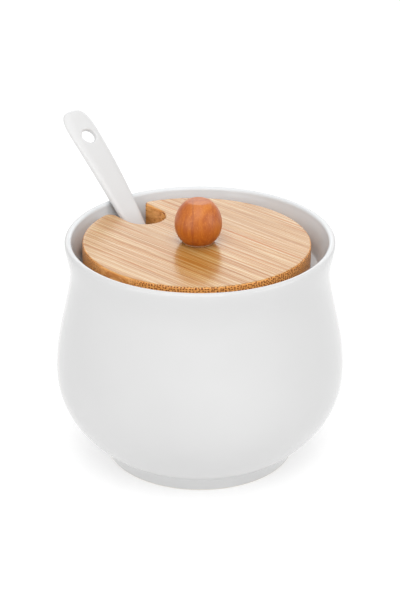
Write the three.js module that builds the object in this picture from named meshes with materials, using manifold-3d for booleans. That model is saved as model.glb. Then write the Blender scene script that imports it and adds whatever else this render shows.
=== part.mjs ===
// A white porcelain sugar bowl with a bamboo lid set down inside its rim. The lid has a
// turned ball knob held by a screw, and a notch in its edge for the handle of a porcelain
// spoon that leans against the lip.
// Millimetres, +Z up. The origin is on the bowl's axis, on the surface it stands on.

import * as THREE from 'three';
import { mergeVertices } from 'three/addons/utils/BufferGeometryUtils.js';
import { ParametricGeometry } from 'three/addons/geometries/ParametricGeometry.js';
import Module from 'manifold-3d';

const wasm = await Module();
wasm.setup();

// ---------------------------------------------------------------- driving dimensions

const BOWL = {
  bellyRadius: 50, // widest radius
  bellyHeight: 33.1, // height of the widest ring
  waistRadius: 44.7,
  waistHeight: 68.6,
  rimHeight: 80.6,
  lipOuterRadius: 46.2,
  lipInnerRadius: 43.8,
  bellyInnerRadius: 46.6,
  floorHeight: 7.2, // inner floor
  floorRadius: 24, // where the floor starts to curve up
};

const FOOT = {
  radius: 32.7,
  innerRadius: 28.7,
  topRadius: 34.7,
  height: 5.6, // where the foot meets the root of the belly
  rootRadius: 36.57,
  rootHeight: 6.7,
  recess: 2.6, // depth of the hollow inside the foot ring
  edge: 0.8, // rounding of the ring's two lower edges
};

const LEDGE = {
  height: 68.3,
  innerRadius: 35.5,
  edge: 0.9,
  seatRadius: 40.6, // end of the flat seat, where the wall's fillet starts
  wallRadius: 41.45,
  wallHeight: 69.9,
};

const LID = {
  centreX: -1.25, // the lid sits a little to one side of its seat
  baseHeight: 66.8, // its underside, at the middle
  tilt: THREE.MathUtils.degToRad(1.02), // about the slot's axis, up on the near side
  knobX: -1, // the knob's place from the lid's middle, with the slot along +X
  knobY: 0.3,
  radius: 39,
  thickness: 10, // plate above the ledge
  rebateRadius: 33.6, // reduced disc that drops inside the ledge
  rebateDepth: 2.5,
  slotAzimuth: THREE.MathUtils.degToRad(134),
  slotHalfWidth: 7.45,
  slotStep: 1, // the rebate stands back from the slot as well
  slotReach: 28.4, // lid's centre to the centre of the slot's round end
  nearCorner: 2.8, // rounding of the slot's mouth on its front side
  farCorner: 1.8, // and on its back side
};

const KNOB = {
  radius: 8.1,
  bellyHeight: 6, // base to the widest ring
  height: 14.3,
  crownRise: 9.4, // upper half's vertical semi-axis, cut off by the flat top
  boreDepth: 9.5,
};

const WASHER = { radius: 5.5, thickness: 0.5 };

const SCREW = {
  headRadius: 3.5,
  headRim: 0.4,
  headHeight: 2.4,
  shankRadius: 1.75,
  length: 21.7,
  tipLength: 3,
  clearance: 0.3, // radial gap around the screw
};

const SPOON = {
  azimuth: THREE.MathUtils.degToRad(135.75), // direction in which the handle leans out
  lean: THREE.MathUtils.degToRad(43.7), // handle's angle from the vertical
  contactRadius: 42.65, // handle's centreline where it passes the lip
  contactHeight: 81.8,
  sideOffset: 1, // centreline's distance from the radial plane
  roll: THREE.MathUtils.degToRad(-3.5), // turn about the handle's own length
  handleLength: 36.7, // lip to the handle's end
  neckLength: 50, // lip to the start of the bend
  bowlCentre: -84.6,
  bowlHalfLength: 18.5,
  bowlHalfWidth: 11.5,
  bowlDepth: 5.5,
  neckHalfWidth: 3.1,
  tipThickness: 2.2,
  lipThickness: 3,
  neckThickness: 4,
  bowlThickness: 2.4,
  backBend: 256, // radius of the handle's backward curve above the lip
  frontBend: 600, // radius of the forward curve through the spoon's bowl
  holeHeight: 25.3, // lip to the hanging hole's centre
  holeOffset: 0.6, // to the right of the handle's centreline
  holeRadius: 2.7,
};

const STACK_GAP = 0.05; // between the faces of lid, washer and knob

const LATHE_SEGMENTS = 56;
const SMALL_LATHE_SEGMENTS = 28;

// ------------------------------------------------------------------------- materials

function finish(name, color, roughness) {
  return new THREE.MeshStandardMaterial({ name, color, roughness, metalness: 0 });
}

const porcelain = () => finish('porcelain', 0xeeeeec, 0.12);
const bamboo = () => finish('bamboo', 0xe3bb8a, 0.45);
const stainedWood = () => finish('stained_wood', 0xc4733c, 0.35);
const clearPlastic = () => finish('clear_plastic', 0xe8e6e0, 0.1);

function zincSteel() {
  const steel = finish('zinc_steel', 0xc2c4c6, 0.35);
  steel.metalness = 1;
  return steel;
}

// --------------------------------------------------------------------------- helpers

// Turns an outline of radius and height, axis to axis, about the Z axis.
function turned(outline, segments) {
  return new THREE.LatheGeometry(outline, segments).rotateX(Math.PI / 2);
}

function solid(geometry) {
  const bare = geometry.clone();
  bare.deleteAttribute('normal');
  bare.deleteAttribute('uv');
  const welded = mergeVertices(bare, 1e-4);
  return new wasm.Manifold(
    new wasm.Mesh({
      numProp: 3,
      vertProperties: new Float32Array(welded.attributes.position.array),
      triVerts: new Uint32Array(welded.index.array),
    }),
  );
}

function geometryOf(manifold) {
  const mesh = manifold.getMesh();
  const geometry = new THREE.BufferGeometry();
  geometry.setAttribute('position', new THREE.BufferAttribute(mesh.vertProperties, 3));
  geometry.setIndex(new THREE.BufferAttribute(mesh.triVerts, 1));
  return geometry;
}

// Points on an arc from one angle to another, both ends included.
function arc(x, y, radius, start, end, steps) {
  return Array.from({ length: steps + 1 }, (_, i) => {
    const angle = start + ((end - start) * i) / steps;
    return new THREE.Vector2(x + radius * Math.cos(angle), y + radius * Math.sin(angle));
  });
}

// Points on a cubic curve given by eight numbers, both ends included.
function curve([ax, ay, bx, by, cx, cy, dx, dy], steps) {
  return new THREE.CubicBezierCurve(
    new THREE.Vector2(ax, ay),
    new THREE.Vector2(bx, by),
    new THREE.Vector2(cx, cy),
    new THREE.Vector2(dx, dy),
  ).getPoints(steps);
}

function at(radius, height) {
  return new THREE.Vector2(radius, height);
}

// Drops points that repeat the one before.
function joined(...stretches) {
  const points = stretches.flat();
  return points.filter((point, i) => i === 0 || point.distanceTo(points[i - 1]) > 1e-3);
}

// ------------------------------------------------------------------------ sugar bowl

function footOutline() {
  const { radius, innerRadius, topRadius, height, rootRadius, rootHeight, recess, edge } = FOOT;
  return joined(
    [at(0, recess), at(innerRadius - recess, recess)],
    [at(innerRadius, recess - edge)],
    arc(innerRadius + edge, edge, edge, Math.PI, 1.5 * Math.PI, 2),
    arc(radius - edge, edge, edge, -Math.PI / 2, 0, 3),
    [at(topRadius, height - 0.6)],
    [at(topRadius + 0.3, height), at(rootRadius, rootHeight)],
  );
}

function outerWallOutline() {
  const { bellyRadius, bellyHeight, waistRadius, waistHeight, lipOuterRadius } = BOWL;
  const belly = [FOOT.rootRadius, FOOT.rootHeight, 46.69, 15.33, bellyRadius, 23.56];
  const shoulder = [bellyRadius, bellyHeight, bellyRadius, bellyHeight + 13.4];
  const flare = [waistRadius, waistHeight, waistRadius, waistHeight + 4.4];
  return joined(
    curve([...belly, bellyRadius, bellyHeight], 7),
    curve([...shoulder, waistRadius, waistHeight - 9.8, waistRadius, waistHeight], 8),
    curve([...flare, 46, 76, lipOuterRadius, lipCentreHeight()], 3),
  );
}

function lipRadius() {
  return (BOWL.lipOuterRadius - BOWL.lipInnerRadius) / 2;
}

function lipCentreHeight() {
  return BOWL.rimHeight - lipRadius();
}

function innerWallOutline() {
  const { lipInnerRadius, bellyInnerRadius, bellyHeight, floorRadius, floorHeight } = BOWL;
  const { height, innerRadius, edge, seatRadius, wallRadius, wallHeight } = LEDGE;
  const neck = [lipInnerRadius, lipCentreHeight(), lipInnerRadius - 0.9, 75.5];
  const hip = [43, 56.5, 42.9, 55.5, bellyInnerRadius, bellyHeight + 10];
  const bottom = [bellyInnerRadius, bellyHeight + 0.4, bellyInnerRadius, 18];
  return joined(
    curve([...neck, wallRadius, 73.5, wallRadius, wallHeight], 3),
    [at(wallRadius - 0.25, height + 0.6), at(seatRadius, height)],
    arc(innerRadius + edge, height - edge, edge, Math.PI / 2, Math.PI, 2),
    curve([innerRadius, height - 3, 37.5, 63.5, 42.7, 61, 43, 56.5], 5),
    curve([...hip, bellyInnerRadius, bellyHeight + 0.4], 4),
    curve([...bottom, 35.5, floorHeight, floorRadius, floorHeight], 7),
    [at(0, floorHeight)],
  );
}

function bowl() {
  const lipMiddle = (BOWL.lipOuterRadius + BOWL.lipInnerRadius) / 2;
  const outline = joined(
    footOutline(),
    outerWallOutline(),
    arc(lipMiddle, lipCentreHeight(), lipRadius(), 0, Math.PI, 5),
    innerWallOutline(),
  );
  const mesh = new THREE.Mesh(turned(outline, LATHE_SEGMENTS), porcelain());
  mesh.name = 'bowl';
  return mesh;
}

// ------------------------------------------------------------------------------- lid

// A disc with a round-ended slot open to its edge, running out along +X.
function slottedDisc(radius, slotHalfWidth, nearCorner, farCorner) {
  const { slotReach } = LID;
  const near = slotHalfWidth + nearCorner;
  const nearX = Math.sqrt((radius - nearCorner) ** 2 - near ** 2);
  const far = slotHalfWidth + farCorner;
  const farX = Math.sqrt((radius - farCorner) ** 2 - far ** 2);
  const nearAngle = Math.atan2(near, nearX);
  const farAngle = Math.atan2(far, farX);
  return new THREE.Shape(
    joined(
      arc(0, 0, radius, nearAngle, 2 * Math.PI - farAngle, 60),
      arc(farX, -far, farCorner, -farAngle, Math.PI / 2, 4),
      arc(slotReach, 0, slotHalfWidth, 1.5 * Math.PI, Math.PI / 2, 14),
      arc(nearX, near, nearCorner, -Math.PI / 2, nearAngle, 6),
    ),
  );
}

function slab(shape, bottom, thickness) {
  const geometry = new THREE.ExtrudeGeometry(shape, { depth: thickness, bevelEnabled: false });
  return solid(geometry.translate(0, 0, bottom));
}

// The screw's outline grown outwards by a gap, up to a given height above the head's face.
function screwOutline(gap, length, tipLength) {
  const { headRadius, headRim, headHeight, shankRadius } = SCREW;
  return [
    at(0, 0),
    at(headRadius + gap, 0),
    at(headRadius + gap, headRim),
    at(shankRadius + gap, headHeight),
    at(shankRadius + gap, length - tipLength),
    at(0, length),
  ];
}

function screwHole() {
  const { clearance, length } = SCREW;
  const hole = turned(screwOutline(clearance, length, 0.01), SMALL_LATHE_SEGMENTS);
  const mouth = new THREE.CylinderGeometry(
    SCREW.headRadius + clearance,
    SCREW.headRadius + clearance,
    2,
    SMALL_LATHE_SEGMENTS,
  ).rotateX(Math.PI / 2);
  const hollow = solid(hole.translate(0, 0, clearance)).add(solid(mouth));
  return hollow.translate([LID.knobX, LID.knobY, 0]);
}

function lidBoard() {
  const { radius, thickness, nearCorner, farCorner, slotHalfWidth } = LID;
  const { rebateRadius, rebateDepth, slotStep } = LID;
  const plateShape = slottedDisc(radius, slotHalfWidth, nearCorner, farCorner);
  const rebateShape = slottedDisc(rebateRadius, slotHalfWidth + slotStep, 1, 1);
  const plate = slab(plateShape, rebateDepth, thickness);
  const rebate = slab(rebateShape, 0, rebateDepth + 0.5);
  const board = plate.add(rebate).subtract(screwHole());
  const mesh = new THREE.Mesh(geometryOf(board), bamboo());
  mesh.name = 'lid_board';
  return mesh;
}

function knobWasher() {
  const bore = SCREW.shankRadius + SCREW.clearance;
  const outline = [
    at(bore, 0),
    at(WASHER.radius, 0),
    at(WASHER.radius, WASHER.thickness),
    at(bore, WASHER.thickness),
    at(bore, 0),
  ];
  const mesh = new THREE.Mesh(turned(outline, SMALL_LATHE_SEGMENTS), clearPlastic());
  mesh.name = 'knob_washer';
  return mesh;
}

// A ball with a flat base and a slightly taller, flattened crown, bored from below.
function knob() {
  const { radius, bellyHeight, height, crownRise, boreDepth } = KNOB;
  const bore = SCREW.shankRadius + SCREW.clearance;
  const baseAngle = -Math.asin(bellyHeight / radius);
  const topAngle = Math.asin((height - bellyHeight) / crownRise);
  const crown = arc(0, 0, 1, 0, topAngle, 8);
  const outline = joined(
    [at(0, boreDepth), at(bore, boreDepth), at(bore, 0)],
    arc(0, bellyHeight, radius, baseAngle, 0, 6),
    crown.map(({ x, y }) => at(radius * x, bellyHeight + crownRise * y)),
    [at(0, height)],
  );
  const mesh = new THREE.Mesh(turned(outline, SMALL_LATHE_SEGMENTS), stainedWood());
  mesh.name = 'knob';
  return mesh;
}

function knobScrew() {
  const outline = screwOutline(0, SCREW.length, SCREW.tipLength);
  const mesh = new THREE.Mesh(turned(outline, SMALL_LATHE_SEGMENTS), zincSteel());
  mesh.name = 'knob_screw';
  return mesh;
}

function lid() {
  const board = lidBoard();
  const washer = knobWasher();
  const ball = knob();
  const screw = knobScrew();
  const boardTop = LID.rebateDepth + LID.thickness;
  const { knobX, knobY } = LID;
  washer.position.set(knobX, knobY, boardTop + STACK_GAP);
  ball.position.set(knobX, knobY, washer.position.z + WASHER.thickness + STACK_GAP);
  screw.position.set(knobX, knobY, SCREW.clearance);
  const group = new THREE.Group();
  group.add(board, washer, ball, screw);
  group.position.set(LID.centreX, 0, LID.baseHeight);
  group.rotation.set(LID.tilt, 0, LID.slotAzimuth, 'ZXY');
  return group;
}

// ----------------------------------------------------------------------------- spoon

// 1 inside a span and falling to 0 at its end along a rounded corner of the given length.
function roundedEnd(distance, length, power) {
  if (distance >= length) return 1;
  return (1 - (1 - Math.max(distance, 0) / length) ** power) ** (1 / power);
}

// Half the spoon's width at a place along it, measured from the lip, up the handle.
function spoonHalfWidth(place) {
  const { handleLength, bowlCentre, bowlHalfLength, bowlHalfWidth, neckHalfWidth } = SPOON;
  const reach = Math.max(place, -25) / 30;
  const handle = Math.max(neckHalfWidth, 4.67 + 1.77 * reach - 0.61 * reach * reach);
  const end = roundedEnd(handleLength - place, 12, 3.07);
  const along = Math.min(1, Math.abs(place - bowlCentre) / bowlHalfLength);
  const oval = bowlHalfWidth * (1 - along ** 2.2) ** (1 / 2.2);
  if (place < bowlCentre) return oval;
  return (oval ** 4 + (handle * end) ** 4) ** 0.25;
}

function spoonThickness(place) {
  const { handleLength, neckLength, bowlCentre, bowlHalfLength } = SPOON;
  const { tipThickness, lipThickness, neckThickness, bowlThickness } = SPOON;
  const { smoothstep, lerp } = THREE.MathUtils;
  const toNeck = smoothstep(-place, 0, neckLength);
  const toBowl = smoothstep(-place, neckLength, -bowlCentre);
  const toTip = smoothstep(place, 0, handleLength);
  const handle = lerp(lerp(lipThickness, tipThickness, toTip), neckThickness, toNeck);
  const full = lerp(handle, bowlThickness, toBowl);
  const upper = roundedEnd(handleLength - place, 1.6, 2);
  const lower = roundedEnd(place - (bowlCentre - bowlHalfLength), 1.2, 2);
  return full * upper * lower;
}

// How far the centre of the section lies in front of the straight line up the handle.
function spoonBend(place) {
  if (place > 0) return -(place * place) / (2 * SPOON.backBend);
  const past = Math.max(0, -place - SPOON.neckLength);
  return (past * past) / (2 * SPOON.frontBend);
}

function spoonDepth(place) {
  const { bowlCentre, bowlHalfLength, bowlDepth } = SPOON;
  const along = Math.min(1, Math.abs(place - bowlCentre) / bowlHalfLength);
  return bowlDepth * (1 - along ** 2) ** 1.2;
}

// Places along the spoon and points around its section, both from 0 to 1.
function spoonSurface(around, along, target) {
  const lowest = SPOON.bowlCentre - SPOON.bowlHalfLength;
  const middle = (SPOON.handleLength + lowest) / 2;
  const place = middle - (SPOON.handleLength - middle) * Math.cos(Math.PI * along);
  const angle = -2 * Math.PI * around;
  const across = Math.cos(angle);
  const crown = Math.sign(Math.sin(angle)) * Math.sqrt(1 - across ** 4);
  const dish = spoonDepth(place) * (1 - across ** 2);
  const front = spoonBend(place) - dish + (spoonThickness(place) / 2) * crown;
  target.set(spoonHalfWidth(place) * across, place, front);
}

function spoonBody() {
  const skin = solid(new ParametricGeometry(spoonSurface, 20, 46));
  const drill = new THREE.CylinderGeometry(SPOON.holeRadius, SPOON.holeRadius, 12, 24);
  return skin.subtract(solid(drill.rotateX(Math.PI / 2).translate(SPOON.holeOffset, SPOON.holeHeight, 0)));
}

function spoon() {
  const { azimuth, lean, roll, contactRadius, contactHeight, sideOffset } = SPOON;
  const mesh = new THREE.Mesh(geometryOf(spoonBody()), porcelain());
  mesh.name = 'spoon';
  mesh.rotation.set(Math.PI / 2 - lean, roll, azimuth - Math.PI / 2, 'ZXY');
  mesh.position.set(
    contactRadius * Math.cos(azimuth) + sideOffset * Math.sin(azimuth),
    contactRadius * Math.sin(azimuth) - sideOffset * Math.cos(azimuth),
    contactHeight,
  );
  return mesh;
}

// -------------------------------------------------------------------------- assembly

const sugarBowl = new THREE.Group();
sugarBowl.add(bowl(), lid(), spoon());

export default sugarBowl;
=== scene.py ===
import math

import bmesh
import bpy
from mathutils import Matrix, Vector
from mathutils.geometry import tessellate_polygon


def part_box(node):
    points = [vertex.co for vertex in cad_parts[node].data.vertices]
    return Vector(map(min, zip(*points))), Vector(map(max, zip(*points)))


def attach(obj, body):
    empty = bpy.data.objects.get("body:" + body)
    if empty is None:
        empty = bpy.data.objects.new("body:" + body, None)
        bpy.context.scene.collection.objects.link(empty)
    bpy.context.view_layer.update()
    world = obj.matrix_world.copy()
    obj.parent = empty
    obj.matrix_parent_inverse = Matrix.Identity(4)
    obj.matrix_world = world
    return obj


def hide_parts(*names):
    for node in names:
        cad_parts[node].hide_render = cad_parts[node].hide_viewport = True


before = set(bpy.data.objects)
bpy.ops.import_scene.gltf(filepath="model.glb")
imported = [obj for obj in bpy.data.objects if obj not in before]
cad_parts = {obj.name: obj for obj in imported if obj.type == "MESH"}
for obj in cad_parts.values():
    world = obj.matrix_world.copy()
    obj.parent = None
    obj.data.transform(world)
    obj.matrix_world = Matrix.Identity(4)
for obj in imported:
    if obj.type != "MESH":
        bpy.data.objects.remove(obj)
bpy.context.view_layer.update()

MM = 0.001
SHARP_ANGLE = math.radians(38)  # faces that meet more sharply than this keep a crisp edge

# ------------------------------------------------------------------ dimensions, millimetres
# The same driving sizes as the solid parts, with the fine edges added.

BOWL_SEGMENTS = 224
LIP_OUTER, LIP_INNER, RIM_HEIGHT = 46.2, 43.8, 80.6
BELLY_RADIUS, BELLY_HEIGHT = 50, 33.1
WAIST_RADIUS, WAIST_HEIGHT = 44.7, 68.6
FOOT_INNER, FOOT_OUTER, FOOT_EDGE, FOOT_RECESS = 28.7, 32.7, 0.8, 2.6
FLOOR_RADIUS, FLOOR_HEIGHT = 24, 7.2
SEAT_RADIUS, LEDGE_RADIUS, LEDGE_HEIGHT, LEDGE_EDGE = 41.45, 35.5, 68.3, 0.9

LID_RADIUS, LID_THICKNESS = 39.0, 10.0
PLATE_LOWER_EDGE, PLATE_UPPER_EDGE = 0.4, 0.65
REBATE_RADIUS, REBATE_DEPTH, REBATE_CORNER, REBATE_OVERLAP = 33.6, 2.5, 1, 0.5
SLOT_HALF_WIDTH, SLOT_REACH, SLOT_STEP = 7.45, 28.4, 1.0
SLOT_AZIMUTH, LID_TILT = math.radians(134), math.radians(1.02)
NEAR_CORNER, FAR_CORNER = 2.8, 1.8
SCREW_X, SCREW_Y = -1.0, 0.3
SCREW_HEAD, SCREW_SHANK, SCREW_LENGTH, SCREW_TIP = 3.5, 1.75, 21.7, 3
SCREW_GAP, BORE_RADIUS = 0.3, 2.05
GRAIN_AZIMUTH = math.radians(-40.3)

KNOB_RADIUS, KNOB_BELLY, KNOB_HEIGHT, KNOB_CROWN = 8.1, 6.0, 14.3, 9.4
KNOB_SEAT, KNOB_BORE_DEPTH = 4.9, 9.5

SPOON_AZIMUTH, SPOON_LEAN, SPOON_ROLL = (math.radians(a) for a in (135.75, 43.7, -3.5))
HANDLE_LENGTH, NECK_LENGTH = 36.7, 50.0
HANDLE_BEND_RADIUS, NECK_BEND_RADIUS = 256, 600
TIP_THICKNESS, HANDLE_THICKNESS, NECK_THICKNESS, SCOOP_THICKNESS = 2.2, 3.0, 4.0, 2.4
SCOOP_CENTRE, SCOOP_HALF_LENGTH, SCOOP_HALF_WIDTH, SCOOP_DEPTH = -84.6, 18.5, 11.5, 5.5
HOLE_HEIGHT, HOLE_OFFSET, HOLE_RADIUS, HOLE_EDGE = 25.3, 0.6, 2.65, 0.7
SPOON_FIT = 0.999  # keeps the finer surface inside the faceted CAD's box


# -------------------------------------------------------------------------------- outlines

def arc(x, y, radius, start, end, steps):
    """Points on an arc, both ends included."""
    angles = [start + (end - start) * i / steps for i in range(steps + 1)]
    return [(x + radius * math.cos(a), y + radius * math.sin(a)) for a in angles]


def curve(a, b, c, d, steps):
    """Points on a cubic curve, both ends included."""
    points = []
    for i in range(steps + 1):
        t = i / steps
        weights = ((1 - t) ** 3, 3 * t * (1 - t) ** 2, 3 * t * t * (1 - t), t ** 3)
        points.append(tuple(sum(w * p[k] for w, p in zip(weights, (a, b, c, d))) for k in (0, 1)))
    return points


def joined(*stretches):
    """One outline, without points that repeat the one before."""
    points = []
    for point in (p for stretch in stretches for p in stretch):
        if not points or math.dist(point, points[-1]) > 1e-4:
            points.append(point)
    return points


# ---------------------------------------------------------------------------- mesh helpers

def make_object(name, vertices, faces, material):
    """A smooth-shaded object from points in millimetres, with its faces turned outwards."""
    mesh = bpy.data.meshes.new(name)
    mesh.from_pydata([[c * MM for c in v] for v in vertices], [], faces)
    work = bmesh.new()
    work.from_mesh(mesh)
    bmesh.ops.recalc_face_normals(work, faces=work.faces)
    work.to_mesh(mesh)
    work.free()
    mesh.polygons.foreach_set("use_smooth", [True] * len(mesh.polygons))
    mesh.set_sharp_from_angle(angle=SHARP_ANGLE)
    piece = bpy.data.objects.new(name, mesh)
    bpy.context.scene.collection.objects.link(piece)
    if material:
        mesh.materials.append(material)
    return piece


def lathe(outline, segments):
    """Points and faces of an outline of (radius, height) turned about Z."""
    vertices, faces, rows = [], [], []
    for radius, height in outline:
        start = len(vertices)
        if radius < 1e-6:
            vertices.append((0, 0, height))
            rows.append([start] * segments)
            continue
        for i in range(segments):
            angle = 2 * math.pi * i / segments
            vertices.append((radius * math.cos(angle), radius * math.sin(angle), height))
        rows.append(list(range(start, start + segments)))
    for low, high in zip(rows, rows[1:]):
        for i in range(segments):
            j = (i + 1) % segments
            faces.append(tuple(dict.fromkeys((low[i], low[j], high[j], high[i]))))
    return vertices, [face for face in faces if len(face) > 2]


def moved(vertices, offset):
    """The same points, shifted."""
    return [tuple(c + o for c, o in zip(v, offset)) for v in vertices]


def cut(piece, cutter):
    """Takes the cutter's shape out of the piece and removes the cutter."""
    modifier = piece.modifiers.new("cut", "BOOLEAN")
    modifier.operation = "DIFFERENCE"
    modifier.solver = "EXACT"
    modifier.object = cutter
    evaluated = piece.evaluated_get(bpy.context.evaluated_depsgraph_get())
    mesh = bpy.data.meshes.new_from_object(evaluated)
    piece.modifiers.clear()
    piece.data = mesh
    mesh.polygons.foreach_set("use_smooth", [True] * len(mesh.polygons))
    mesh.set_sharp_from_angle(angle=SHARP_ANGLE)
    bpy.data.objects.remove(cutter)


def centre_of(node):
    """Middle of a CAD node's box, in millimetres."""
    low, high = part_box(node)
    return (low + high) / 2 / MM


def settle(piece, node, turn):
    """Turns the piece and moves the middle of its box to the middle of a CAD node's box."""
    piece.data.transform(turn.to_4x4())
    corners = [vertex.co for vertex in piece.data.vertices]
    low, high = (Vector([pick(c[k] for c in corners) for k in range(3)]) for pick in (min, max))
    piece.data.transform(Matrix.Translation(centre_of(node) * MM - (low + high) / 2))


def install(piece, node, body):
    """The piece stands for one CAD node and moves with its body."""
    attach(piece, body)
    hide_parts(node)


# ------------------------------------------------------------------------- material helpers

def linear(red, green, blue):
    """A screen colour of 0 to 255 as a shader's colour."""
    def channel(value):
        value /= 255
        return value / 12.92 if value <= 0.04045 else ((value + 0.055) / 1.055) ** 2.4
    return (channel(red), channel(green), channel(blue), 1.0)


class Nodes:
    """Short calls for building one material's node tree."""

    def __init__(self, name):
        self.material = bpy.data.materials.new(name)
        self.material.use_nodes = True
        self.tree = self.material.node_tree
        self.surface = self.tree.nodes["Principled BSDF"]

    def add(self, kind, **settings):
        node = self.tree.nodes.new(kind)
        for key, value in settings.items():
            setattr(node, key, value)
        return node

    def link(self, source, target):
        self.tree.links.new(source, target)

    def place(self, rotation=0.0, scale=(1, 1, 1), location=(0, 0, 0)):
        """Object coordinates, turned about Z and shifted, then scaled."""
        position = self.add("ShaderNodeTexCoord").outputs["Object"]
        turn = self.add("ShaderNodeMapping")
        turn.inputs["Rotation"].default_value = (0, 0, rotation)
        turn.inputs["Location"].default_value = location
        self.link(position, turn.inputs["Vector"])
        stretch = self.add("ShaderNodeMapping")
        stretch.inputs["Scale"].default_value = scale
        self.link(turn.outputs["Vector"], stretch.inputs["Vector"])
        return stretch.outputs["Vector"]

    def noise(self, vector, scale=1.0, detail=3.0, roughness=0.5):
        node = self.add("ShaderNodeTexNoise")
        node.inputs["Scale"].default_value = scale
        node.inputs["Detail"].default_value = detail
        node.inputs["Roughness"].default_value = roughness
        self.link(vector, node.inputs["Vector"])
        return node.outputs["Fac"]

    def cells(self, vector, randomness):
        """Distance from the middle of the nearest cell, for cells spread over X and Y."""
        node = self.add("ShaderNodeTexVoronoi", voronoi_dimensions="2D")
        node.inputs["Scale"].default_value = 1
        node.inputs["Randomness"].default_value = randomness
        self.link(vector, node.inputs["Vector"])
        return node.outputs["Distance"]

    def ramp(self, factor, *stops):
        """A colour ramp of (position, colour) stops; a bare number is a grey."""
        node = self.add("ShaderNodeValToRGB")
        elements = node.color_ramp.elements
        while len(elements) < len(stops):
            elements.new(0.5)
        for element, (position, colour) in zip(elements, stops):
            element.position = position
            element.color = colour if isinstance(colour, tuple) else (colour,) * 3 + (1.0,)
        self.link(factor, node.inputs["Fac"])
        return node.outputs["Color"]

    def span(self, value, low, high, to_low=0.0, to_high=1.0):
        node = self.add("ShaderNodeMapRange")
        node.inputs["From Min"].default_value = low
        node.inputs["From Max"].default_value = high
        node.inputs["To Min"].default_value = to_low
        node.inputs["To Max"].default_value = to_high
        self.link(value, node.inputs["Value"])
        return node.outputs["Result"]

    def math(self, operation, a, b=None):
        node = self.add("ShaderNodeMath", operation=operation)
        for socket, value in zip(node.inputs, (a, b)):
            if value is None:
                continue
            if isinstance(value, (int, float)):
                socket.default_value = value
            else:
                self.link(value, socket)
        return node.outputs["Value"]

    def mix(self, factor, a, b):
        """Colour a where the factor is 0, colour b where it is 1."""
        node = self.add("ShaderNodeMix", data_type="RGBA")
        sockets = (node.inputs["Factor"], node.inputs[6], node.inputs[7])
        for socket, value in zip(sockets, (factor, a, b)):
            if isinstance(value, (int, float, tuple)):
                socket.default_value = value
            else:
                self.link(value, socket)
        return node.outputs[2]

    def bump(self, height, strength, distance):
        node = self.add("ShaderNodeBump")
        node.inputs["Strength"].default_value = strength
        node.inputs["Distance"].default_value = distance
        self.link(height, node.inputs["Height"])
        self.link(node.outputs["Normal"], self.surface.inputs["Normal"])

    def colour(self, source):
        self.link(source, self.surface.inputs["Base Color"])

    def roughness(self, source):
        self.link(source, self.surface.inputs["Roughness"])

    def fixed(self, **values):
        for key, value in values.items():
            self.surface.inputs[key.replace("_", " ")].default_value = value


# -------------------------------------------------------------------------------- materials

# Painted light: the spoon is the same porcelain as the bowl, drawn a lighter white to stand in for the
# light on it.
BOWL_SHADE, SPOON_PAINTED_LIGHT_SHADE = 199, 204
INSIDE_PAINTED_LIGHT = (12, 15, 17)  # painted light: the bowl's inside is drawn this much lighter and cooler
BARE_HEIGHT, BARE_BLUR = 0.5, 0.12  # millimetres of foot without glaze, and its soft border
DOTS_PER_METRE_ROUND, DOTS_PER_METRE_UP = 1000, 1600  # bundles in the bamboo's end grain


def porcelain(name, shade, is_bowl=False):
    """White body under a clear glaze; the bowl is bare and matt where its foot stands, and has painted
    light inside.
    """
    n = Nodes(name)
    tone = n.noise(n.place(), scale=28, detail=2)

    def white(red, green, blue):
        light = linear(red + 3, green + 3, blue + 3)
        return n.ramp(tone, (0.3, linear(red, green, blue)), (0.7, light))

    glaze = white(shade, shade, shade)
    gloss = n.span(n.noise(n.place(), scale=60, detail=2), 0.3, 0.7, 0.09, 0.13)
    ripple = n.noise(n.place(), scale=45, detail=1)
    n.bump(ripple, 0.25, 0.0006)
    n.fixed(Specular_IOR_Level=0.3)
    if not is_bowl:
        n.colour(glaze)
        n.roughness(gloss)
        return n.material
    coordinates = n.add("ShaderNodeTexCoord")
    outward = n.add("ShaderNodeVectorMath", operation="DOT_PRODUCT")
    n.link(n.place(0, (1, 1, 0)), outward.inputs[0])
    n.link(coordinates.outputs["Normal"], outward.inputs[1])
    # Painted light: faces turned towards the bowl's axis get a lighter, cooler white, standing in for
    # light inside the bowl.
    inside = n.span(outward.outputs["Value"], -0.02, 0.01, 1, 0)
    glaze = n.mix(inside, glaze, white(*(shade + lift for lift in INSIDE_PAINTED_LIGHT)))
    split = n.add("ShaderNodeSeparateXYZ")
    n.link(coordinates.outputs["Object"], split.inputs["Vector"])
    wander = n.span(n.noise(n.place(), scale=300), 0, 1, -0.00012, 0.00012)
    height = n.math("ADD", split.outputs["Z"], wander)
    bare = n.span(height, BARE_HEIGHT * MM, (BARE_HEIGHT + BARE_BLUR) * MM, 1, 0)
    grit = n.noise(n.place(), scale=2600, detail=3)
    biscuit = n.ramp(grit, (0.3, linear(206, 202, 194)), (0.75, linear(224, 221, 214)))
    n.colour(n.mix(bare, glaze, biscuit))
    n.roughness(n.mix(bare, gloss, (0.75, 0.75, 0.75, 1)))
    return n.material


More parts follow.
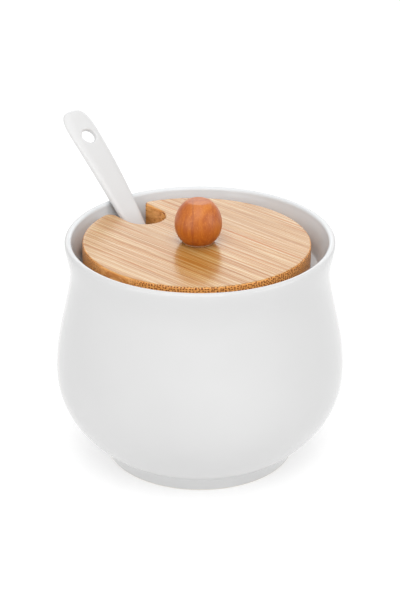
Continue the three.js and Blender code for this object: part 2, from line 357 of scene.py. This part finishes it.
def bamboo():
    """Straight-grained laminated bamboo: pale ground, brown threads, dotted end grain."""
    n = Nodes("bamboo")
    turn = -GRAIN_AZIMUTH
    band = n.noise(n.place(turn, (6, 190, 90)), detail=2)
    streak = n.noise(n.place(turn, (12, 1800, 420)), detail=5, roughness=0.8)
    dark = n.noise(n.place(turn, (9, 1700, 300), (0.3, 0.1, 0)), detail=3, roughness=0.8)
    pale = n.noise(n.place(turn, (8, 2100, 300), (0.7, 0.5, 0)), detail=3, roughness=0.8)
    point = n.add("ShaderNodeSeparateXYZ")
    n.link(n.place(turn), point.inputs["Vector"])
    bearing = n.math("ARCTAN2", point.outputs["Y"], point.outputs["X"])
    rim = n.add("ShaderNodeCombineXYZ")
    around = n.math("MULTIPLY", bearing, LID_RADIUS * MM * DOTS_PER_METRE_ROUND)
    n.link(around, rim.inputs["X"])
    n.link(n.math("MULTIPLY", point.outputs["Z"], DOTS_PER_METRE_UP), rim.inputs["Y"])
    bundle = n.cells(rim.outputs["Vector"], randomness=0.55)
    dot = n.span(bundle, 0.24, 0.39, 1, 0)

    ground = n.ramp(
        band,
        (0.32, linear(164, 111, 43)),
        (0.5, linear(176, 127, 58)),
        (0.68, linear(184, 139, 73)),
    )
    streaks = n.ramp(
        streak,
        (0.38, linear(140, 77, 12)),
        (0.44, linear(167, 111, 40)),
        (0.52, linear(177, 132, 68)),
        (0.6, linear(195, 165, 113)),
    )
    top = n.mix(0.85, ground, streaks)
    top = n.mix(n.span(dark, 0.57, 0.62, 0, 0.75), top, linear(182, 102, 26))
    top = n.mix(n.span(pale, 0.57, 0.63, 0, 0.7), top, linear(214, 182, 124))

    side = n.ramp(streak, (0.36, linear(202, 132, 64)), (0.6, linear(236, 176, 108)))
    side = n.mix(n.span(dark, 0.55, 0.62, 0, 0.6), side, linear(170, 94, 28))
    end_ground = n.ramp(
        n.noise(n.place(turn, (30, 1500, 1500)), detail=3),
        (0.3, linear(214, 142, 68)),
        (0.7, linear(234, 170, 96)),
    )
    end = n.mix(dot, end_ground, linear(112, 50, 12))

    normal = n.add("ShaderNodeMapping", vector_type="NORMAL")
    normal.inputs["Rotation"].default_value = (0, 0, turn)
    n.link(n.add("ShaderNodeTexCoord").outputs["Normal"], normal.inputs["Vector"])
    split = n.add("ShaderNodeSeparateXYZ")
    n.link(normal.outputs["Vector"], split.inputs["Vector"])
    endness = n.span(n.math("ABSOLUTE", split.outputs["X"]), 0.11, 0.28)
    sideness = n.span(n.math("ABSOLUTE", split.outputs["Z"]), 0.94, 0.75)
    edge = n.mix(endness, side, end)
    n.colour(n.mix(sideness, top, edge))
    n.roughness(n.span(streak, 0.3, 0.7, 0.42, 0.3))
    grain = n.math("ADD", n.math("MULTIPLY", dark, -0.6), n.math("MULTIPLY", dot, -0.3))
    n.bump(grain, 0.2, 0.00005)
    # The lacquer is thicker on the pale streaks, thin on the brown threads and on the edge.
    lacquer = n.math("MULTIPLY", n.span(streak, 0.38, 0.58, 0.3, 1), n.span(sideness, 0, 1, 1, 0.2))
    lacquer = n.math("MULTIPLY", lacquer, n.span(dark, 0.57, 0.62, 1, 0.4))
    n.link(lacquer, n.surface.inputs["Coat Weight"])
    n.fixed(Coat_Roughness=0.2, Specular_IOR_Level=0.25)
    return n.material


def stained_wood(centre):
    """Close-grained hardwood stained orange-brown under a clear varnish."""
    n = Nodes("stained_wood")
    shift = tuple(-c * MM for c in centre)
    wide = n.noise(n.place(0.4, (330, 120, 22), shift), detail=2)
    grain = n.noise(n.place(0.4, (1300, 900, 70), shift), detail=4, roughness=0.6)
    pore = n.noise(n.place(0, (3200, 3200, 900), shift), detail=2)
    colour = n.ramp(
        n.math("ADD", n.math("MULTIPLY", wide, 0.55), n.math("MULTIPLY", grain, 0.45)),
        (0.34, linear(160, 74, 8)),
        (0.46, linear(176, 90, 12)),
        (0.56, linear(187, 102, 18)),
        (0.68, linear(196, 114, 28)),
    )
    across = n.add("ShaderNodeSeparateXYZ")
    n.link(n.place(-0.06, (1, 1, 1), shift), across.inputs["Vector"])
    wander = n.span(n.noise(n.place(0, (60, 60, 160), shift), detail=2), 0, 1, -0.0009, 0.0009)
    line = n.span(n.math("ADD", across.outputs["X"], wander), -0.01, 0.01)
    growth = n.ramp(
        line,
        (0.375, 0.0),
        (0.4, 0.5),
        (0.425, 0.0),
        (0.725, 0.0),
        (0.745, 0.35),
        (0.765, 0.0),
    )
    colour = n.mix(growth, colour, linear(140, 56, 8))
    colour = n.mix(n.span(pore, 0.58, 0.7, 0, 0.35), colour, linear(150, 64, 10))
    colour = n.mix(n.span(pore, 0.42, 0.3, 0, 0.3), colour, linear(222, 146, 72))
    n.colour(colour)
    n.roughness(n.span(grain, 0.3, 0.7, 0.55, 0.42))
    n.bump(n.math("ADD", grain, n.math("MULTIPLY", pore, 0.4)), 0.2, 0.00005)
    n.fixed(Coat_Weight=0.4, Coat_Roughness=0.36, Specular_IOR_Level=0.4)
    return n.material


def clear_plastic():
    """Slightly hazy clear plastic; its orange base colour is a painted reflection of the wood around it.
    """
    n = Nodes("clear_plastic")
    haze = n.noise(n.place(), scale=900, detail=2)
    # Painted reflection: the orange of the knob and lid is put into the plastic's base colour.
    n.colour(n.ramp(haze, (0.2, linear(226, 150, 96)), (0.8, linear(244, 190, 140))))
    n.roughness(n.span(haze, 0.2, 0.8, 0.06, 0.16))
    n.fixed(Transmission_Weight=0.6, IOR=1.4)
    return n.material


def zinc_steel():
    """Bright zinc plating with a fine turned finish."""
    n = Nodes("zinc_steel")
    brushed = n.noise(n.place(0, (400, 400, 6000)), detail=3)
    n.colour(n.ramp(brushed, (0.3, linear(176, 178, 182)), (0.7, linear(206, 207, 208))))
    n.roughness(n.span(brushed, 0.3, 0.7, 0.22, 0.4))
    n.bump(brushed, 0.15, 0.00003)
    n.fixed(Metallic=1.0)
    return n.material


# ---------------------------------------------------------------------------- sugar bowl

def bowl_outline():
    """From the middle of the underside, round the foot and lip, to the middle of the floor."""
    foot = joined(
        [(radius, FOOT_RECESS) for radius in (0, 8, 16, 24)],
        curve((24, FOOT_RECESS), (27.2, FOOT_RECESS), (28.3, 2.2), (FOOT_INNER, FOOT_EDGE), 8),
        arc(FOOT_INNER + FOOT_EDGE, FOOT_EDGE, FOOT_EDGE, math.pi, 1.5 * math.pi, 6),
        arc(FOOT_OUTER - FOOT_EDGE, FOOT_EDGE, FOOT_EDGE, -math.pi / 2, 0, 8),
        curve((FOOT_OUTER, FOOT_EDGE), (33.4, 2.2), (34.3, 3.8), (34.7, 5), 6),
        curve((34.7, 5), (34.95, 5.75), (35.4, 5.85), (36.57, 6.7), 6),
    )
    lip_middle = (LIP_OUTER + LIP_INNER) / 2
    lip_radius = (LIP_OUTER - LIP_INNER) / 2
    lip_height = RIM_HEIGHT - lip_radius
    belly = (BELLY_RADIUS, BELLY_HEIGHT)
    waist = (WAIST_RADIUS, WAIST_HEIGHT)
    seat = (SEAT_RADIUS, LEDGE_HEIGHT + 1.6)
    outside = joined(
        curve((36.57, 6.7), (46.69, 15.33), (BELLY_RADIUS, 23.56), belly, 26),
        curve(belly, (BELLY_RADIUS, 46.5), (WAIST_RADIUS, 58.8), waist, 26),
        curve(waist, (WAIST_RADIUS, 73), (46, 76), (LIP_OUTER, lip_height), 10),
        arc(lip_middle, lip_height, lip_radius, 0, math.pi, 14),
    )
    inside = joined(
        curve((LIP_INNER, lip_height), (42.9, 75.5), (SEAT_RADIUS, 73.5), seat, 10),
        curve(
            seat,
            (SEAT_RADIUS, LEDGE_HEIGHT + 0.4),
            (41.1, LEDGE_HEIGHT),
            (40.6, LEDGE_HEIGHT),
            5,
        ),
        arc(LEDGE_RADIUS + LEDGE_EDGE, LEDGE_HEIGHT - LEDGE_EDGE, LEDGE_EDGE, math.pi / 2, math.pi, 8),
        curve((LEDGE_RADIUS, LEDGE_HEIGHT - 3), (37.5, 63.5), (42.7, 61), (43, 56.5), 14),
        curve((43, 56.5), (42.9, 55.5), (46.6, 43.1), (46.6, 33.5), 14),
        curve((46.6, 33.5), (46.6, 18), (35.5, FLOOR_HEIGHT), (FLOOR_RADIUS, FLOOR_HEIGHT), 24),
        [(16, FLOOR_HEIGHT), (8, FLOOR_HEIGHT), (0, FLOOR_HEIGHT)],
    )
    return joined(foot, outside, inside)


def sugar_bowl():
    vertices, faces = lathe(bowl_outline(), BOWL_SEGMENTS)
    material = porcelain("porcelain", BOWL_SHADE, is_bowl=True)
    piece = make_object("porcelain_bowl", vertices, faces, material)
    install(piece, "bowl", "bowl")


# -------------------------------------------------------------------------------------- lid

def slotted_ring(inset, radius, near, far, slot_gap=0.0):
    """The outline of a disc with a round-ended slot along +X, drawn in by an inset."""
    half = SLOT_HALF_WIDTH + slot_gap
    near_x = math.sqrt((radius - near) ** 2 - (half + near) ** 2)
    far_x = math.sqrt((radius - far) ** 2 - (half + far) ** 2)
    near_angle = math.atan2(half + near, near_x)
    far_angle = math.atan2(half + far, far_x)
    points = (
        arc(0, 0, radius - inset, near_angle, 2 * math.pi - far_angle, 200)[:-1],
        arc(far_x, -half - far, far - inset, -far_angle, math.pi / 2, 12),
        arc(SLOT_REACH, 0, half + inset, 1.5 * math.pi, math.pi / 2, 48),
        arc(near_x, half + near, near - inset, -math.pi / 2, near_angle, 16)[:-1],
    )
    return [point for stretch in points for point in stretch]


def slab(radius, near, far, low, high, edge_low, edge_high, slot_gap=0.0):
    """A closed slotted disc with rounded lower and upper edges."""
    margin, steps = 0.35, 5
    levels = [(edge_low + margin, low)]
    for i in range(steps + 1):
        angle = math.pi / 2 * i / steps
        levels.append((edge_low * (1 - math.sin(angle)), low + edge_low * (1 - math.cos(angle))))
    for i in range(steps + 1):
        angle = math.pi / 2 * i / steps
        levels.append((edge_high * (1 - math.cos(angle)), high - edge_high * (1 - math.sin(angle))))
    levels.append((edge_high + margin, high))
    vertices, faces = [], []
    for inset, height in levels:
        ring = slotted_ring(inset, radius, near, far, slot_gap)
        vertices += [(x, y, height) for x, y in ring]
    count = len(vertices) // len(levels)
    for level in range(len(levels) - 1):
        for i in range(count):
            a, b = level * count + i, level * count + (i + 1) % count
            faces.append((a, b, b + count, a + count))
    cap = tessellate_polygon([[Vector((x, y, 0)) for x, y, _ in vertices[:count]]])
    top = (len(levels) - 1) * count
    faces += [tuple(triangle) for triangle in cap]
    faces += [tuple(top + i for i in triangle) for triangle in cap]
    return vertices, faces


def screw_outline(gap, tip):
    """The countersunk screw, head down and point up, made wider all round by a gap."""
    return [
        (0, 0),
        (SCREW_HEAD + gap, 0),
        (SCREW_HEAD + gap, 0.4),
        (SCREW_SHANK + gap, 2.4),
        (SCREW_SHANK + gap, SCREW_LENGTH - tip),
        (0, SCREW_LENGTH),
    ]


def lid_turn():
    """The lid's notch turned to the spoon, and its near side a little up."""
    return Matrix.Rotation(SLOT_AZIMUTH, 3, "Z") @ Matrix.Rotation(LID_TILT, 3, "X")


def lid_board():
    top = REBATE_DEPTH + LID_THICKNESS
    edges = (PLATE_LOWER_EDGE, PLATE_UPPER_EDGE)
    plate = slab(LID_RADIUS, NEAR_CORNER, FAR_CORNER, REBATE_DEPTH, top, *edges)
    corners = (REBATE_CORNER, REBATE_CORNER)
    rebate_top = REBATE_DEPTH + REBATE_OVERLAP  # it ends inside the plate
    rebate = slab(REBATE_RADIUS, *corners, 0, rebate_top, 0.4, 0.3, slot_gap=SLOT_STEP)
    material = bamboo()
    pieces = []
    for name, (vertices, faces) in (("board_plate", plate), ("board_rebate", rebate)):
        piece = make_object(name, vertices, faces, material)
        hole, hole_faces = lathe(screw_outline(SCREW_GAP, 0.01), 48)
        hole = moved(hole, (SCREW_X, SCREW_Y, SCREW_GAP))
        cut(piece, make_object("cutter", hole, hole_faces, None))
        if name == "board_rebate":
            radius = SCREW_HEAD + SCREW_GAP
            mouth_outline = [(0, -1), (radius, -1), (radius, SCREW_GAP), (0, SCREW_GAP)]
            mouth, mouth_faces = lathe(mouth_outline, 48)
            mouth = moved(mouth, (SCREW_X, SCREW_Y, 0))
            cut(piece, make_object("cutter", mouth, mouth_faces, None))
        pieces.append(piece)
    join_into(pieces[0], pieces[1])
    pieces[0].name = "bamboo_board"
    settle(pieces[0], "lid_board", lid_turn())
    install(pieces[0], "lid_board", "lid")


def join_into(keeper, other):
    """Adds the other piece's mesh to the keeper's."""
    work = bmesh.new()
    work.from_mesh(keeper.data)
    work.from_mesh(other.data)
    work.to_mesh(keeper.data)
    work.free()
    keeper.data.set_sharp_from_angle(angle=SHARP_ANGLE)
    bpy.data.objects.remove(other)


def clear_washer():
    thickness, radius = 0.5, 5.5
    edge = thickness / 2
    outline = joined(
        [(BORE_RADIUS, 0)],
        arc(radius - edge, edge, edge, -math.pi / 2, math.pi / 2, 10),
        [(BORE_RADIUS, thickness), (BORE_RADIUS, 0)],
    )
    vertices, faces = lathe(outline, 96)
    piece = make_object("clear_washer", vertices, faces, clear_plastic())
    settle(piece, "knob_washer", lid_turn())
    install(piece, "knob_washer", "lid")


def ball_knob():
    base_angle = -math.asin(KNOB_BELLY / KNOB_RADIUS)
    top_angle = math.asin((KNOB_HEIGHT - KNOB_BELLY) / KNOB_CROWN)
    crown = arc(0, 0, 1, 0, top_angle - 0.04, 30)
    edge_radius = KNOB_RADIUS * math.cos(top_angle)
    outline = joined(
        [(0, KNOB_BORE_DEPTH), (BORE_RADIUS, KNOB_BORE_DEPTH), (BORE_RADIUS, 0), (KNOB_SEAT, 0)],
        arc(0, KNOB_BELLY, KNOB_RADIUS, base_angle + 0.03, 0, 30),
        [(KNOB_RADIUS * x, KNOB_BELLY + KNOB_CROWN * y) for x, y in crown],
        [(edge_radius - 0.12, KNOB_HEIGHT - 0.04), (edge_radius - 0.5, KNOB_HEIGHT), (0, KNOB_HEIGHT)],
    )
    vertices, faces = lathe(outline, 128)
    piece = make_object("ball_knob", vertices, faces, stained_wood(centre_of("knob")))
    settle(piece, "knob", lid_turn())
    install(piece, "knob", "lid")


def knob_screw():
    vertices, faces = lathe(screw_outline(0, SCREW_TIP), 64)
    piece = make_object("countersunk_screw", vertices, faces, zinc_steel())
    for turn in (0, math.pi / 2):  # the two bars of the cross recess
        corners = []
        for height, half_length, half_width in ((-0.5, 2.1, 0.5), (1.5, 0.7, 0.35)):
            for x, y in ((-1, -1), (1, -1), (1, 1), (-1, 1)):
                point = Vector((x * half_length, y * half_width, height))
                point.rotate(Matrix.Rotation(turn, 3, "Z"))
                corners.append(tuple(point))
        sides = [(i, (i + 1) % 4, (i + 1) % 4 + 4, i + 4) for i in range(4)]
        recess = make_object("cutter", corners, [(3, 2, 1, 0), (4, 5, 6, 7), *sides], None)
        cut(piece, recess)
    settle(piece, "knob_screw", lid_turn())
    install(piece, "knob_screw", "lid")


# ------------------------------------------------------------------------------------ spoon

def smoothstep(value, low, high):
    """0 up to the low value, 1 from the high one, and a smooth rise between them."""
    t = min(1, max(0, (value - low) / (high - low)))
    return t * t * (3 - 2 * t)


def blend(a, b, t):
    return a + (b - a) * t


def rounded_end(distance, length, power):
    """Share of the full size near a rounded end: 0 at the end, 1 from a length away."""
    if distance >= length:
        return 1.0
    return max(0.0, 1 - (1 - max(distance, 0) / length) ** power) ** (1 / power)


def half_width(place):
    """Half the spoon's width at a place along it, measured from the lip, up the handle."""
    reach = max(place, -25) / 30  # below -25 the width stays the same, down to the scoop
    handle = max(3.1, 4.67 + 1.77 * reach - 0.61 * reach * reach)  # widest near its upper end
    end = rounded_end(HANDLE_LENGTH - place, 12, 3.07)
    along = min(1, abs(place - SCOOP_CENTRE) / SCOOP_HALF_LENGTH)
    oval = SCOOP_HALF_WIDTH * (1 - along ** 2.2) ** (1 / 2.2)
    if place < SCOOP_CENTRE:
        return oval
    return (oval ** 4 + (handle * end) ** 4) ** 0.25


def thickness(place):
    """Front to back, thinning to a rounded edge at both ends."""
    to_neck = smoothstep(-place, 0, NECK_LENGTH)
    to_scoop = smoothstep(-place, NECK_LENGTH, -SCOOP_CENTRE)
    to_tip = smoothstep(place, 0, HANDLE_LENGTH)
    full = blend(HANDLE_THICKNESS, TIP_THICKNESS, to_tip)
    full = blend(blend(full, NECK_THICKNESS, to_neck), SCOOP_THICKNESS, to_scoop)
    upper = rounded_end(HANDLE_LENGTH - place, 1.6, 2)
    lower = rounded_end(place - (SCOOP_CENTRE - SCOOP_HALF_LENGTH), 1.2, 2)
    return full * upper * lower


def bend(place):
    """How far the middle line stands in front of a straight one."""
    if place > 0:
        return -place * place / (2 * HANDLE_BEND_RADIUS)
    return max(0, -place - NECK_LENGTH) ** 2 / (2 * NECK_BEND_RADIUS)


def dish(place):
    """Depth of the scoop along its middle line."""
    along = min(1, abs(place - SCOOP_CENTRE) / SCOOP_HALF_LENGTH)
    return SCOOP_DEPTH * (1 - along ** 2) ** 1.2


def skin(x, place, side):
    """Height of the front (+1) or back (-1) surface over a point of the spoon's plan."""
    width = half_width(place)
    across = min(1, abs(x) / width) if width > 1e-9 else 1
    crown = math.sqrt(max(0, 1 - across ** 4))
    return bend(place) - dish(place) * (1 - across ** 2) + side * thickness(place) / 2 * crown


def spoon_grid(around, rows):
    """Vertices of the spoon's closed skin, and their numbers by row and column."""
    lowest = SCOOP_CENTRE - SCOOP_HALF_LENGTH
    middle = (HANDLE_LENGTH + lowest) / 2
    vertices, index = [], []
    for row in range(rows + 1):
        place = middle - (HANDLE_LENGTH - middle) * math.cos(math.pi * row / rows)
        if row in (0, rows):
            vertices.append((0, place, bend(place)))
            index.append([len(vertices) - 1] * around)
            continue
        index.append([])
        for column in range(around):
            angle = 2 * math.pi * column / around
            x = half_width(place) * math.cos(angle)
            side = 0 if column % (around // 2) == 0 else math.copysign(1, math.sin(angle))
            index[-1].append(len(vertices))
            vertices.append((x, place, skin(x, place, side)))
    return vertices, index


def hole_patch(vertices, border, side):
    """Rings of vertices from a border of the front or back skin in to the hole's wall."""
    def ring(radius, depth, share):
        made = []
        for corner in border:
            x, y, _ = vertices[corner]
            angle = math.atan2(y - HOLE_HEIGHT, x - HOLE_OFFSET)
            px = blend(x, HOLE_OFFSET + radius * math.cos(angle), share)
            py = blend(y, HOLE_HEIGHT + radius * math.sin(angle), share)
            made.append(len(vertices))
            vertices.append((px, py, skin(px, py, side) - side * depth))
        return made

    outer = HOLE_RADIUS + HOLE_EDGE
    rings = [border] + [ring(outer, 0, share) for share in (0.25, 0.5, 0.75, 1)]
    steps = 8
    for i in range(1, steps + 1):
        angle = math.pi / 2 * i / steps
        rings.append(ring(outer - HOLE_EDGE * math.sin(angle), HOLE_EDGE * (1 - math.cos(angle)), 1))
    return rings


def spoon_mesh():
    """The skin with a patch of faces left out front and back, and the hole in their place."""
    around, rows = 96, 240
    half_columns, half_rows = around // 8, 8
    vertices, index = spoon_grid(around, rows)
    middle_row = min(range(rows), key=lambda r: abs(vertices[index[r][0]][1] - HOLE_HEIGHT))
    low, high = middle_row - half_rows, middle_row + half_rows

    def in_hole(row, column):
        if not low <= row < high:
            return False
        quarter = around // 4
        front = quarter - half_columns <= column < quarter + half_columns
        back = 3 * quarter - half_columns <= column < 3 * quarter + half_columns
        return front or back

    faces = []
    for row in range(rows):
        for column in range(around):
            if in_hole(row, column):
                continue
            right = (column + 1) % around
            quad = (index[row][column], index[row][right], index[row + 1][right], index[row + 1][column])
            quad = tuple(dict.fromkeys(quad))
            if len(quad) > 2:
                faces.append(quad)

    first, last = around // 4 - half_columns, around // 4 + half_columns
    loop = [(low, c) for c in range(first, last)] + [(r, last) for r in range(low, high)]
    loop += [(high, c) for c in range(last, first, -1)] + [(r, first) for r in range(high, low, -1)]
    front = hole_patch(vertices, [index[r][c] for r, c in loop], 1)
    back = hole_patch(vertices, [index[r][around - c] for r, c in loop], -1)
    for outer, inner in [*zip(front, front[1:]), *zip(back, back[1:]), (front[-1], back[-1])]:
        for i in range(len(loop)):
            j = (i + 1) % len(loop)
            faces.append((outer[i], outer[j], inner[j], inner[i]))
    return vertices, faces


def spoon():
    vertices, faces = spoon_mesh()
    # Painted light: the spoon's white is lighter than the bowl's.
    material = porcelain("spoon_porcelain", SPOON_PAINTED_LIGHT_SHADE)
    piece = make_object("porcelain_spoon", vertices, faces, material)
    turn = Matrix.Rotation(SPOON_AZIMUTH - math.pi / 2, 3, "Z")
    turn = turn @ Matrix.Rotation(math.pi / 2 - SPOON_LEAN, 3, "X")
    turn = turn @ Matrix.Rotation(SPOON_ROLL, 3, "Y")
    settle(piece, "spoon", turn * SPOON_FIT)
    install(piece, "spoon", "spoon")


# ---------------------------------------------------------------------------- studio

VIEW_AZIMUTH = math.radians(3.4)
VIEW_ELEVATION = math.radians(25.42)
VIEW_DISTANCE = 0.7633
VIEW_HEIGHT = 0.0569
LENS, SENSOR_WIDTH = 132.66, 36
LIGHT_AIM = Vector((0, 0, 0.05))
GROUND_HALF, GROUND_DROP = 9000, 0.05  # millimetres: half its side, and how far below the foot


def camera():
    data = bpy.data.cameras.new("camera")
    data.lens, data.sensor_width = LENS, SENSOR_WIDTH
    data.clip_start, data.clip_end = 0.05, 20
    eye = bpy.data.objects.new("camera", data)
    bpy.context.scene.collection.objects.link(eye)
    flat = math.cos(VIEW_ELEVATION)
    back = Vector(
        (math.sin(VIEW_AZIMUTH) * flat, -math.cos(VIEW_AZIMUTH) * flat, math.sin(VIEW_ELEVATION))
    )
    eye.location = Vector((0, 0, VIEW_HEIGHT)) + back * VIEW_DISTANCE
    eye.rotation_euler = (-back).to_track_quat("-Z", "Y").to_euler()
    bpy.context.scene.camera = eye


def softbox(name, place, width, height, power):
    data = bpy.data.lights.new(name, "AREA")
    data.shape = "RECTANGLE"
    data.size, data.size_y = width, height
    data.energy = power
    box = bpy.data.objects.new(name, data)
    box.location = place
    box.rotation_euler = (LIGHT_AIM - Vector(place)).to_track_quat("-Z", "Y").to_euler()
    bpy.context.scene.collection.objects.link(box)


def floor():
    n = Nodes("studio_floor")
    sheen = n.noise(n.place(), scale=3, detail=1)
    n.colour(n.ramp(sheen, (0.2, linear(194, 194, 194)), (0.8, linear(196, 196, 196))))
    n.fixed(Roughness=0.9, Specular_IOR_Level=0.1, Emission_Strength=0.48)
    half = GROUND_HALF
    corners = [(-half, -half), (half, -half), (half, half), (-half, half)]
    corners = [(x, y, -GROUND_DROP) for x, y in corners]
    ground = make_object("studio_floor", corners, [(0, 1, 2, 3)], n.material)


def studio():
    world = bpy.data.worlds.new("studio")
    world.use_nodes = True
    background = world.node_tree.nodes["Background"]
    background.inputs["Color"].default_value = (1, 1, 1, 1)
    background.inputs["Strength"].default_value = 0.55
    bpy.context.scene.world = world
    bpy.context.scene.view_settings.view_transform = "Standard"
    floor()
    # name, place, width, height and power in watts
    softbox("top_light", (0.0, 0.0, 1.3), 1.2, 1.2, 6.0)
    softbox("back_light", (0.0, 1.6, 0.9), 2.4, 0.9, 10.4)
    softbox("key_light", (0.0, -0.9, 1.1), 1.0, 0.8, 6.8)
    softbox("left_light", (-0.85, -1.05, 0.4), 0.9, 0.8, 4.4)
    softbox("right_light", (1.2, -0.44, 0.5), 0.9, 0.8, 4.7)


camera()
studio()
sugar_bowl()
lid_board()
clear_washer()
ball_knob()
knob_screw()
spoon()
